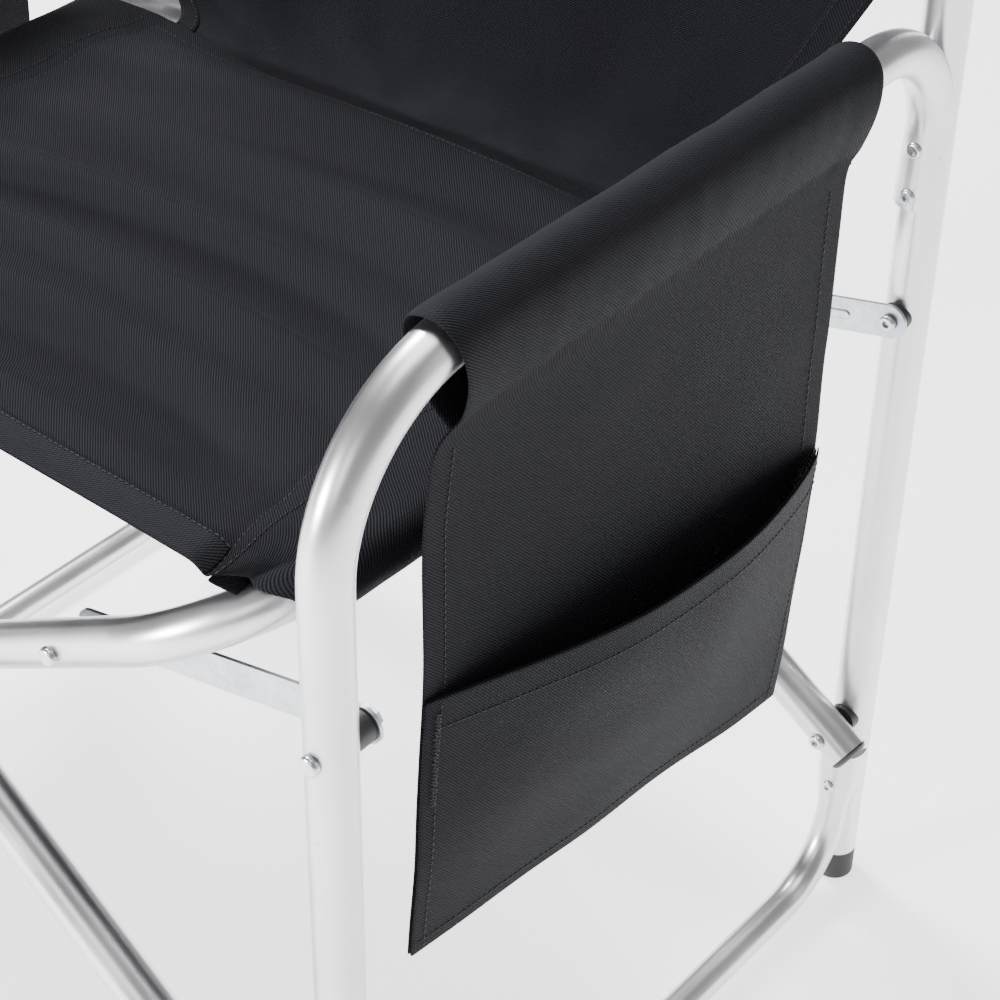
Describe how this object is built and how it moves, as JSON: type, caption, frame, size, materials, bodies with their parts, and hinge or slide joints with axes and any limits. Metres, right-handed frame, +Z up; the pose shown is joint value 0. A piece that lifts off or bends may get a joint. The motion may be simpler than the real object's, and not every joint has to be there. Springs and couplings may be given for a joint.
{
  "type": "folding director chair",
  "caption": "Folding director chair with bent tube side frames, crossing tubes under the seat, fabric seat and back, and pockets hanging from the arms.",
  "frame": {"origin": "on the floor, at the middle of the open chair's footprint", "axes": "+Z up, the sitter faces -Y, +X is the sitter's left"},
  "size_m": [0.6802, 0.5545, 0.8302],
  "materials": {
    "tube": "satin anodised",
    "strut": "zinc plated",
    "fastener": "bright zinc plated",
    "foot": "matt",
    "plastic": "matt",
    "cloth": "woven polyester"
  },
  "bodies": {
    "frame_left": {"side_tube_left": "tube", "rear_post_left": "tube", "front_foot_left": "foot", "rear_foot_left": "foot", "post_cap_left": "plastic", "floor_runner_left": "tube", "tail_bolts_left": "fastener", "runner_bolts_left": "fastener", "low_pivot_bolts_left": "fastener", "low_spacers_left": "plastic", "link_bolts_left": "fastener", "link_spacers_left": "plastic", "arm_sleeve_left": "cloth", "side_panel_left": "cloth", "pocket_left": "cloth", "back_cloth": "cloth"},
    "cross_b": {"cross_tube_b": "tube", "end_plugs_b": "plastic", "tube_rivet_b": "fastener", "centre_bolts": "fastener", "seat_cloth": "cloth"},
    "cross_a": {"cross_tube_a": "tube", "end_plugs_a": "plastic", "tube_rivet_a": "fastener"},
    "frame_right": {"side_tube_right": "tube", "rear_post_right": "tube", "front_foot_right": "foot", "rear_foot_right": "foot", "post_cap_right": "plastic", "floor_runner_right": "tube", "tail_bolts_right": "fastener", "runner_bolts_right": "fastener", "low_pivot_bolts_right": "fastener", "low_spacers_right": "plastic", "link_bolts_right": "fastener", "link_spacers_right": "plastic", "arm_sleeve_right": "cloth", "side_panel_right": "cloth", "pocket_right": "cloth"},
    "links_left": {"front_link_left": "strut", "rear_link_left": "strut", "link_rivets_left": "fastener", "link_rings_left": "plastic"},
    "links_right": {"front_link_right": "strut", "rear_link_right": "strut", "link_rivets_right": "fastener", "link_rings_right": "plastic"}
  },
  "joints": [
    {"name": "fold", "type": "hinge", "parent": "frame_left", "child": "cross_b", "pos_m": [0.3, 0, 0.139], "axis": [0, 1, 0], "range_deg": [0, 44.23], "deforming": ["seat_cloth", "back_cloth"]},
    {"name": "crossing", "type": "hinge", "parent": "cross_b", "child": "cross_a", "pos_m": [0, 0, 0.31765], "axis": [0, 1, 0], "range_deg": [-88.46, 0]},
    {"name": "right_foot_pivot", "type": "hinge", "parent": "cross_a", "child": "frame_right", "pos_m": [-0.3, 0, 0.139], "axis": [0, 1, 0], "range_deg": [0, 44.23]},
    {"name": "struts_left", "type": "hinge", "parent": "frame_left", "child": "links_left", "pos_m": [0.3, 0, 0.4312], "axis": [0, 1, 0], "range_deg": [0, 86.3]},
    {"name": "struts_right", "type": "hinge", "parent": "frame_right", "child": "links_right", "pos_m": [-0.3, 0, 0.4312], "axis": [0, 1, 0], "range_deg": [-86.3, 0]}
  ],
  "couplings": [
    {"joint": "crossing", "follows": "fold", "ratio": -2},
    {"joint": "right_foot_pivot", "follows": "fold", "ratio": 1},
    {"joint": "struts_left", "follows": "fold", "ratio": 1.951},
    {"joint": "struts_right", "follows": "fold", "ratio": -1.951}
  ]
}
